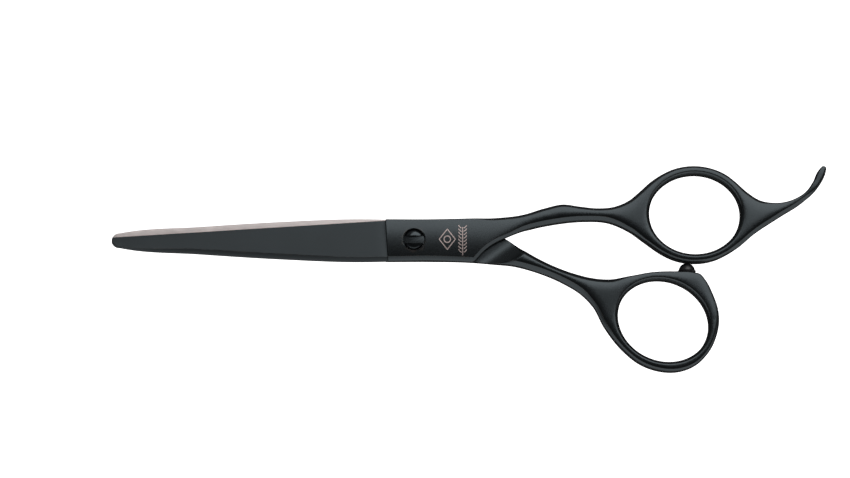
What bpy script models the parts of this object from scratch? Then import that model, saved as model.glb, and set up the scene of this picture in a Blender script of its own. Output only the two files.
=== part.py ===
"""Hair cutting shears, 6.5 inch: two forged halves on a slotted tension screw, offset handles, fixed finger rest.

All sizes are in millimetres. The pivot axis is Z through the origin, +X runs to the handles, +Z is the side
with the screw head, and z = 0 is the face that the closed shears rest on. The finger half is the front one
(its blade above the parting plane) and the thumb half is the rear one.
"""

import math

import bmesh
import bpy
import numpy as np
from mathutils import Matrix, Vector
from mathutils.geometry import delaunay_2d_cdt

MM = 0.001

# --- driving dimensions -------------------------------------------------------------------------------
HEIGHT = 5.2  # over both halves, and of each handle
PARTING = HEIGHT / 2
FACE_GAP = 0.03  # each blade's inner face stands this far off the parting plane
TIP_X = -79.1
HEEL_X = -7.1  # where the ground blade face ends in a step
STEP_SLANT = 0.065  # the step line leans towards the tip on the cutting side
STEP_RUN = 0.12
RUN_OUT = 2.6  # length of the grinding wheel's run-out before the step
RUN_OUT_DIP = 0.1
EDGE_TIP_Y = 0.95  # the cutting edge, from tip to heel
EDGE_HEEL_Y = 5.4
EDGE_THICKNESS = 0.3  # of the blade where the honed bevel starts
SPINE_TIP = 1.15  # blade thickness at the spine, at the tip and at the heel
SPINE_HEEL = 1.9
BLADE_BULGE = 0.9  # exponent of its section: below 1 it is a little fuller than a wedge
HOLLOW = 0.12  # depth of the hollow-ground inner face
HOLLOW_FADE = 8.0  # it fades out over this length before the heel
LAND = 0.14  # share of the blade left flat along each edge of the hollow
COVE_START = 0.25  # the scoop behind the pivot: clearance from its line, and wheel radius
COVE_RADIUS = 8.0
THUMB_COVE = ((15.5, 5.85), (24.7, -0.75))  # the line where each half's scoop starts
FINGER_COVE = ((15.5, 5.9), (24.7, 0.35))

HEAD_RADIUS = 2.7
UNDER_HEAD = 4.35  # height of the head's underside, of its rim and of its top
HEAD_RIM = 4.78
HEAD_TOP = 5.33
HEAD_ANGLES = (75, 60, 40, 20)  # where the domed head has its points, in degrees from its axis
SLOT_WIDTH = 1.95
SLOT_FLOOR = 4.65
POCKET_RADIUS = 2.9  # the head's pocket in the finger half
POCKET_FLOOR = 3.75
JOURNAL_RADIUS = 1.8  # the screw's plain length, which ends just under the parting plane
JOURNAL_END = 2.35
THREAD_END = 2.2
THREAD_RADIUS = 1.5
THREAD_CHAMFER = 0.2
BUSH_RADIUS = 2.3
BUSH_BOTTOM = 2.68
BUSH_TOP = 3.7
FRICTION_WASHER = (3.78, 4.08)  # bottom and top of each washer under the head
WAVE_WASHER = (4.13, 4.28)
NUT_RADIUS = 2.1
NUT_TOP = 2.15
FLANGE_RADIUS = 2.7
FLANGE_HEIGHT = 0.8
RUNNING_GAP = 0.05
WASHER_GAP = 0.1
SEAT_GAP = 0.03

BUMPER_X = 71.35
BUMPER_Y = -8.12  # of the dome's widest section
BUMPER_RADIUS = 2.15
BUMPER_SKIRT = 0.6
BUMPER_SOCKET = 1.23  # height of the hollow that holds the stud
DOME_ANGLES = (0, 15, 30, 45, 60, 75)
STUD_RADIUS = 0.8
STUD_DEPTH = 2.8
STUD_TOP = 1.2

OVERSHOOT = 1.0  # of a cutter past the face it cuts through

FINGER_HOLE = dict(centre=(73.55, 6.8), semi=(11.95, 10.55), tilt=0.0)
THUMB_HOLE = dict(centre=(64.95, -21.35), semi=(12.1, 10.4), tilt=-24.7)
REST_TIP = dict(centre=(107.45, 18.8), semi=(0.78, 0.78), tilt=0.0)
FINGER_RING = dict(centre=(73.4, 6.78), semi=(14.7, 12.82), tilt=0.0)

SPACING = 2.4  # of the points along an outline
TURN = math.radians(9)  # largest turn between neighbouring points
INNER_SPACING = 2.6  # of the points inside a face
DENSE = 24  # points that each stretch of outline is first cut into
HOLE_POINTS = 72
LEVELS = (0.0, 0.45, 1.0)  # shares of a bevel's width that hold a ring of points
ROUNDNESS = 1.4  # exponent of a bevel's section: 1 is a chamfer, 2 a quarter round

# An edge is (width, depth) of its bevel on the outer face, then on the inner face.
SPINE_FINE = (0.55, 0.5, 0.05, 0.05)
SPINE = (1.1, 0.85, 0.05, 0.05)
SPINE_PIVOT = (0.85, 0.75, 0.05, 0.05)
TIP = (0.35, 0.3, 0.05, 0.05)
HONED = (0.14, 0.12, 0.04, 0.02)
BREAK = (0.3, 0.3, 0.05, 0.05)
COVE_EDGE = (0.5, 0.5, 0.1, 0.1)
INSIDE = (0.8, 0.8, 0.8, 0.8)
INSIDE_FULL = (1.1, 1.1, 1.1, 1.1)
OUTSIDE = (0.45, 0.5, 0.45, 0.5)
RING_OUT = (0.45, 0.6, 0.45, 0.6)
RING_HOLE = (0.8, 0.9, 0.8, 0.9)
REST_UNDER = (0.8, 0.8, 0.8, 0.8)
REST_END = (0.35, 0.8, 0.35, 0.8)

# The crown of the outer face: how far it reaches in from an edge, and its drop there, along X.
CROWN_X = (-8.0, 16.0, 30.0, 46.0, 60.0, 110.0)
CROWN_REACH = (5.5, 5.5, 2.8, 1.7, 1.1, 1.1)
CROWN_DROP = (0.35, 0.35, 0.32, 0.25, 0.14, 0.14)

CORNER = "corner"

BLACK_COATING = (0.035, 0.037, 0.038)
STEEL = (0.5, 0.5, 0.5)
BRONZE = (0.7, 0.55, 0.3)
POLYMER = (0.85, 0.85, 0.82)
RUBBER = (0.02, 0.02, 0.022)


def ellipse_points(shape, start, stop, count):
    """Points on an ellipse between two angles in degrees."""
    tilt = math.radians(shape["tilt"])
    points = []
    for angle in np.radians(np.linspace(start, stop, count)):
        u = shape["semi"][0] * math.cos(angle)
        v = shape["semi"][1] * math.sin(angle)
        x = shape["centre"][0] + u * math.cos(tilt) - v * math.sin(tilt)
        y = shape["centre"][1] + u * math.sin(tilt) + v * math.cos(tilt)
        points.append((x, y))
    return points


def blade_knots():
    """Heel, cutting edge, tip and spine, then the diagonal behind the pivot: the same on both halves."""
    step_top = HEEL_X - STEP_SLANT * EDGE_HEEL_Y
    return [
        (14.7, 5.62, BREAK),
        (4.0, 5.38, BREAK),
        (step_top + STEP_RUN, EDGE_HEEL_Y, BREAK, CORNER),
        (step_top - STEP_RUN, EDGE_HEEL_Y - 0.01, HONED, CORNER),
        (TIP_X + 0.15, EDGE_TIP_Y, HONED, CORNER),
        (TIP_X - 0.05, EDGE_TIP_Y - 0.5, TIP, CORNER),
        (TIP_X, -0.75, TIP),
        (-78.2, -1.75, SPINE_FINE),
        (-76.5, -2.11, SPINE_FINE),
        (-56.0, -3.7, SPINE),
        (-35.0, -5.0, SPINE),
        (-14.0, -5.74, SPINE_PIVOT),
        (-6.0, -5.6, SPINE_PIVOT),
        (4.0, -5.42, SPINE_PIVOT),
        (15.2, -5.8, SPINE_PIVOT, CORNER),
        (15.9, -5.45, COVE_EDGE, CORNER),
    ]


def finger_knots():
    """The finger half's outline, anticlockwise from the heel."""
    under = [(x, y, RING_OUT) for x, y in ellipse_points(FINGER_RING, 235, 305, 6)]
    rest_tip = [(x, y, REST_END) for x, y in ellipse_points(REST_TIP, -30, 150, 5)]
    over = [(x, y, RING_OUT) for x, y in ellipse_points(FINGER_RING, 42, 124, 8)]
    return (
        blade_knots()
        + [
            (18.6, -2.6, COVE_EDGE),
            (21.5, -0.6, COVE_EDGE),
            (24.7, 0.8, INSIDE),
            (29.4, 2.68, INSIDE_FULL),
            (36.5, 4.3, INSIDE_FULL),
            (44.8, 5.12, INSIDE_FULL),
            (50.5, 4.8, INSIDE_FULL),
            (56.2, 2.5, INSIDE),
            (60.6, -0.7, RING_OUT),
        ]
        + under
        + [
            (84.9, -1.75, REST_UNDER),
            (89.3, 1.93, REST_UNDER),
            (95.6, 6.1, REST_UNDER),
            (102.0, 10.2, REST_UNDER),
            (106.0, 13.95, REST_END),
        ]
        + rest_tip
        + [
            (104.9, 15.7, REST_END),
            (102.4, 12.5, OUTSIDE),
            (98.4, 10.32, OUTSIDE),
            (94.5, 9.75, OUTSIDE),
            (90.6, 10.56, OUTSIDE),
            (87.2, 12.8, OUTSIDE),
        ]
        + over
        + [
            (62.2, 15.5, OUTSIDE),
            (59.2, 12.82, OUTSIDE),
            (56.0, 10.26, OUTSIDE),
            (52.4, 8.8, OUTSIDE),
            (48.0, 8.42, OUTSIDE),
            (43.4, 8.88, OUTSIDE),
            (39.0, 9.42, OUTSIDE),
            (34.0, 8.33, OUTSIDE),
            (28.5, 6.68, OUTSIDE),
            (21.5, 5.83, OUTSIDE),
        ]
    )


def thumb_knots():
    """The thumb half's outline in its own mirrored frame, so its handle also lies on the +Y side."""
    return blade_knots() + [
        (20.0, -2.95, COVE_EDGE),
        (24.6, -0.1, COVE_EDGE),
        (29.2, 3.0, OUTSIDE),
        (35.5, 6.4, OUTSIDE),
        (41.7, 8.8, OUTSIDE),
        (46.4, 10.0, OUTSIDE),
        (50.8, 10.38, OUTSIDE),
        (56.6, 9.55, OUTSIDE),
        (62.1, 8.58, OUTSIDE),
        (68.0, 8.36, OUTSIDE),
        (72.8, 8.56, OUTSIDE),
        (74.7, 9.1, OUTSIDE),
        (76.0, 10.6, OUTSIDE),
        (77.9, 14.4, OUTSIDE),
        (79.15, 18.2, OUTSIDE),
        (79.45, 21.4, RING_OUT),
        (78.75, 25.2, RING_OUT),
        (76.7, 29.5, RING_OUT),
        (73.0, 33.0, RING_OUT),
        (68.3, 34.58, RING_OUT),
        (63.6, 34.32, RING_OUT),
        (58.9, 32.6, RING_OUT),
        (54.3, 28.92, RING_OUT),
        (49.6, 22.8, INSIDE),
        (46.6, 17.2, INSIDE),
        (43.4, 14.0, INSIDE_FULL),
        (38.8, 11.2, INSIDE_FULL),
        (32.5, 8.52, INSIDE_FULL),
        (26.2, 6.78, INSIDE),
        (20.5, 6.1, BREAK),
    ]


def run_through(knots):
    """Dense points along the closed outline with their bevels, and which of them are corners."""
    values = np.array([[*knot[:2], *knot[2]] for knot in knots])
    corners = [CORNER in knot for knot in knots]
    chords = np.roll(values, -1, axis=0) - values
    lengths = np.hypot(chords[:, 0], chords[:, 1])[:, None]
    slopes = chords / lengths
    before = np.roll(lengths, 1, axis=0)
    tangents = (lengths * np.roll(slopes, 1, axis=0) + before * slopes) / (before + lengths)
    rows, kept = [], []
    for i in range(len(knots)):
        j = (i + 1) % len(knots)
        leaving = slopes[i] if corners[i] else tangents[i]
        arriving = slopes[i] if corners[j] else tangents[j]
        for t in np.arange(0, 1, 1 / DENSE):
            row = hermite(values[i], leaving * lengths[i], values[j], arriving * lengths[i], t)
            row[2:] = values[i, 2:] + chords[i, 2:] * t
            rows.append(row)
            kept.append(corners[i] and t == 0)
    return np.array(rows), np.array(kept)


def hermite(start, leaving, end, arriving, t):
    """A point on the cubic with these ends and end tangents."""
    return (
        (1 + 2 * t) * (1 - t) ** 2 * start
        + t * (1 - t) ** 2 * leaving
        + t * t * (3 - 2 * t) * end
        - t * t * (1 - t) * arriving
    )


def resample(rows, kept, spacing, turn):
    """Fewer points: closer where the outline turns, with every corner kept."""
    ahead = np.roll(rows[:, :2], -1, axis=0) - rows[:, :2]
    length = np.hypot(ahead[:, 0], ahead[:, 1])
    heading = np.arctan2(ahead[:, 1], ahead[:, 0])
    bend = np.abs((np.diff(heading, append=heading[0]) + math.pi) % (2 * math.pi) - math.pi)
    bend[np.roll(kept, -1)] = 0
    cost = length / spacing + bend / turn
    starts = np.flatnonzero(kept)
    if not len(starts):
        starts = np.array([0])
    picked = []
    for i, start in enumerate(starts):
        stop = starts[(i + 1) % len(starts)]
        if stop <= start:
            stop += len(rows)
        run = np.arange(start, stop + 1) % len(rows)
        so_far = np.concatenate([[0], np.cumsum(cost[run[:-1]])])
        pieces = max(1, round(so_far[-1]))
        marks = np.linspace(0, so_far[-1], pieces + 1)[:-1]
        columns = [np.interp(marks, so_far, rows[run, c]) for c in range(rows.shape[1])]
        picked.append(np.stack(columns, axis=1))
    return np.concatenate(picked)


def inward(points):
    """Unit normals into the material, longer at a corner so that an offset keeps its width."""
    back = points - np.roll(points, 1, axis=0)
    ahead = np.roll(points, -1, axis=0) - points
    back /= np.linalg.norm(back, axis=1)[:, None]
    ahead /= np.linalg.norm(ahead, axis=1)[:, None]
    left = np.stack([-(back + ahead)[:, 1], (back + ahead)[:, 0]], axis=1)
    left /= np.linalg.norm(left, axis=1)[:, None]
    side = np.stack([-ahead[:, 1], ahead[:, 0]], axis=1)
    return left / np.maximum((left * side).sum(axis=1), 0.6)[:, None]


def hole_rows(shape):
    """A ring's hole, clockwise, as outline rows."""
    points = np.array(ellipse_points(shape, 360, 0, HOLE_POINTS + 1)[:-1])
    return np.hstack([points, np.tile(RING_HOLE, (len(points), 1))])


def inside(points, polygon):
    """Which points lie inside a closed polygon."""
    x, y = points[:, 0][:, None], points[:, 1][:, None]
    x0, y0 = polygon[:, 0][None], polygon[:, 1][None]
    x1, y1 = np.roll(polygon[:, 0], -1)[None], np.roll(polygon[:, 1], -1)[None]
    crosses = ((y0 > y) != (y1 > y)) & (x < (x1 - x0) * (y - y0) / np.where(y1 == y0, 1e-12, y1 - y0) + x0)
    return crosses.sum(axis=1) % 2 == 1


def edge_distance(points, loops):
    """Distance from each point to the nearest outline."""
    best = np.full(len(points), np.inf)
    for loop in loops:
        start = loop[None]
        along = np.roll(loop, -1, axis=0)[None] - start
        away = points[:, None] - start
        t = np.clip((away * along).sum(axis=2) / (along**2).sum(axis=2), 0, 1)
        best = np.minimum(best, np.linalg.norm(away - along * t[..., None], axis=2).min(axis=1))
    return best


def smooth(x, low, high):
    t = np.clip((x - low) / (high - low), 0, 1)
    return t * t * (3 - 2 * t)


def crowned_face(x, distance):
    """Height of a handle's outer face."""
    reach = np.interp(x, CROWN_X, CROWN_REACH)
    drop = np.interp(x, CROWN_X, CROWN_DROP)
    return HEIGHT - drop * (1 - np.minimum(distance / reach, 1)) ** 2


def blade_across(x, y):
    """0 at the cutting edge, 1 at the spine."""
    spine = [knot[:2] for knot in blade_knots() if knot[2] in (SPINE_FINE, SPINE, SPINE_PIVOT)]
    spine_y = np.interp(x, *zip(*spine))
    edge_y = np.interp(x, (TIP_X, HEEL_X), (EDGE_TIP_Y, EDGE_HEEL_Y))
    return np.clip((edge_y - y) / (edge_y - spine_y), 0, 1)


def outer_height(x, y, distance, _):
    """Height of the outer face: ground blade, step, crowned pivot area and handle."""
    step_x = HEEL_X - STEP_SLANT * y
    along = np.clip((x - TIP_X) / (HEEL_X - TIP_X), 0, 1)
    spine = SPINE_TIP + (SPINE_HEEL - SPINE_TIP) * along
    blade = PARTING + EDGE_THICKNESS + (spine - EDGE_THICKNESS) * blade_across(x, y) ** BLADE_BULGE
    blade -= RUN_OUT_DIP * np.clip((x - step_x + RUN_OUT) / RUN_OUT, 0, 1) ** 2
    return blade + (crowned_face(x, distance) - blade) * smooth(x, step_x - STEP_RUN, step_x + STEP_RUN)


def inner_height(x, y, distance, cove):
    """Height of the inner face: hollow blade, flat pivot area, then the scoop down to the handle's face."""
    flat = PARTING + FACE_GAP
    between = np.clip((blade_across(x, y) - LAND) / (1 - 2 * LAND), 0, 1)
    hollow = HOLLOW * 4 * between * (1 - between) * (1 - smooth(x, HEEL_X - HOLLOW_FADE, HEEL_X))
    (from_x, from_y), (to_x, to_y) = cove
    run_x, run_y = to_x - from_x, to_y - from_y
    beyond = ((y - from_y) * run_x - (x - from_x) * run_y) / math.hypot(run_x, run_y) - COVE_START
    scoop = COVE_RADIUS - np.sqrt(COVE_RADIUS**2 - np.clip(beyond, 0, COVE_RADIUS * 0.999) ** 2)
    return np.maximum(flat + hollow - scoop, HEIGHT - crowned_face(x, distance))


def bevel_drop(t):
    """Drop of a bevel at t across its width, 1 at the wall and 0 where it meets the face."""
    return 1 - (1 - (1 - t) ** ROUNDNESS) ** (1 / ROUNDNESS)


def grid_points(loops, spacing, clear):
    """Staggered points inside the outline, clear of its innermost loops."""
    low, high = loops[0].min(axis=0), loops[0].max(axis=0)
    rows = []
    for k, y in enumerate(np.arange(low[1], high[1], spacing * 0.87)):
        xs = np.arange(low[0] + (k % 2) * spacing / 2, high[0], spacing)
        rows.append(np.stack([xs, np.full(len(xs), y)], axis=1))
    points = np.concatenate(rows)
    keep = inside(points, loops[0])
    for hole in loops[1:]:
        keep &= ~inside(points, hole)
    points = points[keep]
    return points[edge_distance(points, loops) > clear]


def face_triangles(loops, extra):
    """Triangles over the region inside the first loop and outside the others, with extra points used."""
    points = np.concatenate(loops + [extra])
    edges = []
    start = 0
    for loop in loops:
        count = len(loop)
        edges += [(start + i, start + (i + 1) % count) for i in range(count)]
        start += count
    _, _, faces, sources, _, _ = delaunay_2d_cdt([Vector(p) for p in points], edges, [], 0, 1e-6, True)
    source = np.array([ids[0] for ids in sources])
    triangles = source[np.array(faces)]
    middle = points[triangles].mean(axis=1)
    keep = inside(middle, loops[0])
    for hole in loops[1:]:
        keep &= ~inside(middle, hole)
    return triangles[keep]


def forged_half(name, knots, hole, cove):
    """A half as one mesh: bevels round the outline and the hole, walls, and the two height-mapped faces."""
    rows = [resample(*run_through(knots), SPACING, TURN), hole_rows(hole)]
    outlines = [r[:, :2] for r in rows]
    mesh = bmesh.new()
    for outer in (True, False):
        height = outer_height if outer else inner_height
        width_column, depth_column = (2, 3) if outer else (4, 5)
        rings = []
        for r in rows:
            normals = inward(r[:, :2])
            for t in LEVELS:
                xy = r[:, :2] + normals * (r[:, width_column] * t)[:, None]
                z = height(xy[:, 0], xy[:, 1], r[:, width_column] * t, cove)
                drop = r[:, depth_column] * bevel_drop(t)
                z = z - drop if outer else z + drop
                rings.append([mesh.verts.new(Vector((x, y, h)) * MM) for x, y, h in zip(*xy.T, z)])
        innermost = [rings[len(LEVELS) * (i + 1) - 1] for i in range(len(rows))]
        loops = [np.array([v.co.xy for v in ring]) / MM for ring in innermost]
        extra = grid_points(loops, INNER_SPACING, INNER_SPACING * 0.35)
        z = height(extra[:, 0], extra[:, 1], edge_distance(extra, outlines), cove)
        added = [mesh.verts.new(Vector((x, y, h)) * MM) for x, y, h in zip(*extra.T, z)]
        verts = sum(innermost, []) + added
        for triangle in face_triangles(loops, extra):
            mesh.faces.new([verts[i] for i in (triangle if outer else triangle[::-1])])
        for i in range(len(rows)):
            for k in range(len(LEVELS) - 1):
                strip(mesh, rings[i * len(LEVELS) + k], rings[i * len(LEVELS) + k + 1], outer)
        walls = [rings[len(LEVELS) * i] for i in range(len(rows))]
        if outer:
            upper = walls
        else:
            for top, bottom in zip(upper, walls):
                strip(mesh, bottom, top, True)
    return finish_mesh(name, mesh)


def strip(mesh, low, high, forward):
    """A band of quads between two closed rings of vertices."""
    for i in range(len(low)):
        j = (i + 1) % len(low)
        quad = (low[i], low[j], high[j], high[i])
        mesh.faces.new(quad if forward else quad[::-1])


def finish_mesh(name, mesh):
    """The bmesh as an object in the shears' collection."""
    data = bpy.data.meshes.new(name)
    mesh.to_mesh(data)
    mesh.free()
    obj = bpy.data.objects.new(name, data)
    shears.objects.link(obj)
    return obj


def turned(name, profile, steps, collection=None):
    """A solid of revolution about Z from (radius, height) pairs listed from bottom to top."""
    data = bpy.data.meshes.new(name)
    edges = [(i, i + 1) for i in range(len(profile) - 1)]
    data.from_pydata([(r * MM, 0, z * MM) for r, z in profile], edges, [])
    obj = bpy.data.objects.new(name, data)
    (collection or shears).objects.link(obj)
    screw = obj.modifiers.new("turn", "SCREW")
    screw.steps = screw.render_steps = steps
    screw.use_merge_vertices = True
    screw.merge_threshold = 1e-6
    screw.use_smooth_shade = False
    screw.use_normal_flip = True
    return obj


def ring_profile(inner, outer, bottom, top):
    """The closed section of a plain ring."""
    return [(inner, bottom), (outer, bottom), (outer, top), (inner, top), (inner, bottom)]


def cutter(name, profile, steps=48):
    obj = turned(name, profile, steps, cutters)
    obj.hide_render = True
    obj.display_type = "WIRE"
    return obj


def cut(obj, tool):
    modifier = obj.modifiers.new(tool.name, "BOOLEAN")
    modifier.operation = "DIFFERENCE"
    modifier.solver = "EXACT"
    modifier.object = tool


def material(obj, colour, roughness, metallic):
    mat = bpy.data.materials.new(obj.name)
    mat.use_nodes = True
    shader = mat.node_tree.nodes["Principled BSDF"]
    shader.inputs["Base Color"].default_value = (*colour, 1)
    shader.inputs["Roughness"].default_value = roughness
    shader.inputs["Metallic"].default_value = metallic
    obj.data.materials.clear()
    obj.data.materials.append(mat)


def clear_scene():
    for obj in list(bpy.data.objects):
        bpy.data.objects.remove(obj, do_unlink=True)


def new_collection(name):
    collection = bpy.data.collections.new(name)
    bpy.context.scene.collection.children.link(collection)
    return collection


def make_halves():
    """The two forged halves with their pivot bores; the thumb half is turned over about X."""
    finger = forged_half("finger_half", finger_knots(), FINGER_HOLE, FINGER_COVE)
    mirrored = dict(THUMB_HOLE, centre=(THUMB_HOLE["centre"][0], -THUMB_HOLE["centre"][1]))
    mirrored["tilt"] = -THUMB_HOLE["tilt"]
    thumb = forged_half("thumb_half", thumb_knots(), mirrored, THUMB_COVE)
    thumb.data.transform(Matrix.Rotation(math.pi, 4, "X") @ Matrix.Translation((0, 0, -HEIGHT * MM)))
    bore = BUSH_RADIUS + SEAT_GAP
    below = PARTING - OVERSHOOT / 2
    above = HEIGHT + OVERSHOOT
    pocket = [
        (0, below),
        (bore, below),
        (bore, POCKET_FLOOR),
        (POCKET_RADIUS, POCKET_FLOOR),
        (POCKET_RADIUS, above),
        (0, above),
    ]
    cut(finger, cutter("finger_bore", pocket))
    recess = FLANGE_RADIUS + SEAT_GAP
    nut_bore = NUT_RADIUS + SEAT_GAP
    seat = FLANGE_HEIGHT + SEAT_GAP
    above = PARTING + OVERSHOOT / 2
    recessed = [
        (0, -OVERSHOOT),
        (recess, -OVERSHOOT),
        (recess, seat),
        (nut_bore, seat),
        (nut_bore, above),
        (0, above),
    ]
    cut(thumb, cutter("thumb_bore", recessed))
    end = -STUD_DEPTH - SEAT_GAP
    floor = -BUMPER_SKIRT - SEAT_GAP
    shank = STUD_RADIUS + SEAT_GAP
    skirt = BUMPER_RADIUS + SEAT_GAP
    above = BUMPER_RADIUS
    stepped = [(0, end), (shank, end), (shank, floor), (skirt, floor), (skirt, above), (0, above)]
    stud_hole = cutter("stud_hole", stepped, 32)
    place_on_ring(stud_hole)
    cut(thumb, stud_hole)
    for half in (finger, thumb):
        material(half, BLACK_COATING, 0.38, 1.0)


def place_on_ring(obj):
    """Turns an object's Z axis to +Y at the bumper's seat."""
    obj.rotation_euler = (-math.pi / 2, 0, 0)
    obj.location = Vector((BUMPER_X, BUMPER_Y, PARTING)) * MM


def make_slot():
    """The box that cuts the slot across the screw's head."""
    height = HEAD_TOP + OVERSHOOT - SLOT_FLOOR
    size = Vector((2 * HEAD_RADIUS + 2 * OVERSHOOT, SLOT_WIDTH, height)) * MM
    box = bmesh.new()
    bmesh.ops.create_cube(box, size=1, matrix=Matrix.Diagonal((*size, 1)))
    data = bpy.data.meshes.new("screw_slot")
    box.to_mesh(data)
    box.free()
    slot = bpy.data.objects.new("screw_slot", data)
    slot.location.z = (SLOT_FLOOR + height / 2) * MM
    slot.hide_render = True
    slot.display_type = "WIRE"
    cutters.objects.link(slot)
    return slot


def make_screw():
    """The tension screw: chamfered thread, plain journal and domed, slotted head."""
    rise = HEAD_TOP - HEAD_RIM
    dome = [(HEAD_RADIUS * math.sin(a), HEAD_RIM + rise * math.cos(a)) for a in np.radians(HEAD_ANGLES)]
    profile = [
        (0, 0),
        (THREAD_RADIUS - THREAD_CHAMFER, 0),
        (THREAD_RADIUS, THREAD_CHAMFER),
        (THREAD_RADIUS, THREAD_END),
        (JOURNAL_RADIUS, JOURNAL_END),
        (JOURNAL_RADIUS, UNDER_HEAD),
        (HEAD_RADIUS, UNDER_HEAD),
        (HEAD_RADIUS, HEAD_RIM),
        *dome,
        (0, HEAD_TOP),
    ]
    screw = turned("pivot_screw", profile, 48)
    cut(screw, make_slot())
    material(screw, BLACK_COATING, 0.25, 1.0)


def make_nut():
    """The threaded nut, whose flange sits in the thumb half's rear face."""
    bore = THREAD_RADIUS + SEAT_GAP
    mouth = bore + THREAD_CHAMFER
    profile = [
        (mouth, 0),
        (FLANGE_RADIUS, 0),
        (FLANGE_RADIUS, FLANGE_HEIGHT),
        (NUT_RADIUS, FLANGE_HEIGHT),
        (NUT_RADIUS, NUT_TOP),
        (bore, NUT_TOP),
        (bore, THREAD_CHAMFER),
        (mouth, 0),
    ]
    material(turned("pivot_nut", profile, 48), STEEL, 0.3, 1.0)


def make_bearing():
    """The bush that the journal turns in, and the two washers under the head."""
    journal_bore = JOURNAL_RADIUS + RUNNING_GAP
    washer_bore = JOURNAL_RADIUS + WASHER_GAP
    bush = turned("pivot_bush", ring_profile(journal_bore, BUSH_RADIUS, BUSH_BOTTOM, BUSH_TOP), 48)
    slide = turned("friction_washer", ring_profile(washer_bore, HEAD_RADIUS, *FRICTION_WASHER), 48)
    wave = turned("wave_washer", ring_profile(washer_bore, HEAD_RADIUS - WASHER_GAP, *WAVE_WASHER), 48)
    material(bush, BRONZE, 0.35, 1.0)
    material(slide, POLYMER, 0.5, 0.0)
    material(wave, STEEL, 0.25, 1.0)


def make_bumper():
    """The rubber stop on the thumb ring, moulded over a stud pressed into the ring."""
    sleeve = STUD_RADIUS + SEAT_GAP
    dome = [(BUMPER_RADIUS * math.cos(a), BUMPER_RADIUS * math.sin(a)) for a in np.radians(DOME_ANGLES)]
    profile = [
        (sleeve, -BUMPER_SKIRT),
        (BUMPER_RADIUS, -BUMPER_SKIRT),
        *dome,
        (0, BUMPER_RADIUS),
        (0, BUMPER_SOCKET),
        (sleeve, BUMPER_SOCKET),
        (sleeve, -BUMPER_SKIRT),
    ]
    bumper = turned("bumper", profile, 32)
    stud_profile = [(0, -STUD_DEPTH), (STUD_RADIUS, -STUD_DEPTH), (STUD_RADIUS, STUD_TOP), (0, STUD_TOP)]
    stud = turned("bumper_stud", stud_profile, 24)
    place_on_ring(bumper)
    place_on_ring(stud)
    material(bumper, RUBBER, 0.5, 0.0)
    material(stud, STEEL, 0.35, 1.0)


clear_scene()
shears = new_collection("hair_cutting_shears")
cutters = new_collection("cutters")
cutters.hide_render = True
make_halves()
make_screw()
make_nut()
make_bearing()
make_bumper()
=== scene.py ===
"""Looks of the hair cutting shears: fine halves, screw, rubber stop, etched mark, materials and light.

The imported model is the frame. Shapes are worked out in millimetres about its pivot axis, with z = 0 on
the rest plane, and are scaled to metres when a mesh is made.
"""

import math
from functools import partial

import bpy
import numpy as np
from mathutils import Matrix, Vector
from mathutils.geometry import delaunay_2d_cdt


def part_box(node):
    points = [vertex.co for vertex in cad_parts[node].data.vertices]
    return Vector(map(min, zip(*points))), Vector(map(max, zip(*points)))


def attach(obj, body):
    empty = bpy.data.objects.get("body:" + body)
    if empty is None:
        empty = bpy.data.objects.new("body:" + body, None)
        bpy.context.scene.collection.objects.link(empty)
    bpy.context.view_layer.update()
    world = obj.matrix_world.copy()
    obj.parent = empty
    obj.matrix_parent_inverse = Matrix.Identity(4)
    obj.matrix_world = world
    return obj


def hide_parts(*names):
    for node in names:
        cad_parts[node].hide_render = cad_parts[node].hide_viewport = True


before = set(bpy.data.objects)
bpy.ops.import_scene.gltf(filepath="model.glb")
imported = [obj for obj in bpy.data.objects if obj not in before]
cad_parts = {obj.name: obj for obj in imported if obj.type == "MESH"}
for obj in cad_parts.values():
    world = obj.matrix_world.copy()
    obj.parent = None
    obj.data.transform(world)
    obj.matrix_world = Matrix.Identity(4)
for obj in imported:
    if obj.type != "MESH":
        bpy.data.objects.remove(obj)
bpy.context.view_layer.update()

MM = 0.001
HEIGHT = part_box("finger_half")[1].z / MM
PARTING = HEIGHT / 2  # the plane between the halves
FACE_GAP = 0.03  # from that plane to each inner face
TIP_X = -79.1
HEEL_X = -7.1
STEP_SLANT = 0.065  # the step up to the pivot area leans this much per mm of y
STEP_RUN = 0.12  # half its length along x
RUN_OUT = 2.6  # the grind dips over this length before the step
RUN_OUT_DIP = 0.1
EDGE_TIP_Y = 0.95
EDGE_HEEL_Y = 5.4
EDGE_THICKNESS = 0.3
SPINE_TIP = 1.15  # thickness of a blade's spine at the tip and at the heel
SPINE_HEEL = 1.9
BLADE_BULGE = 0.9  # power of a blade's section: under 1 it bulges
HOLLOW = 0.12  # depth of the hollow grind, which fades out over this length at the heel
HOLLOW_FADE = 8.0
LAND = 0.14  # share of the blade left flat along each edge of the hollow
COVE_START = 0.25
COVE_RADIUS = 8.0
RIM_BLEND = 0.12  # softening of the scoop's rim
THUMB_COVE = ((15.5, 5.85), (24.7, -0.75))
FINGER_COVE = ((15.5, 5.9), (24.7, 0.35))
COATED_FROM_X = 15.0  # the inner faces are bare ground steel up to here
DIAGONAL = (15.2, -5.8)  # where the spine's side meets the diagonal behind the pivot

POCKET = dict(radius=2.9, floor=3.75, bore=2.33)
NUT_SEAT = dict(radius=2.73, floor=HEIGHT - 0.83, bore=2.13)

FINGER_HOLE = dict(centre=(73.55, 6.8), semi=(11.95, 10.55), tilt=0.0)
THUMB_HOLE = dict(centre=(64.95, 21.35), semi=(12.1, 10.4), tilt=24.7)
REST_TIP = dict(centre=(107.45, 18.8), semi=(0.78, 0.78), tilt=0.0)
FINGER_RING = dict(centre=(73.4, 6.78), semi=(14.7, 12.82), tilt=0.0)

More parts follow.
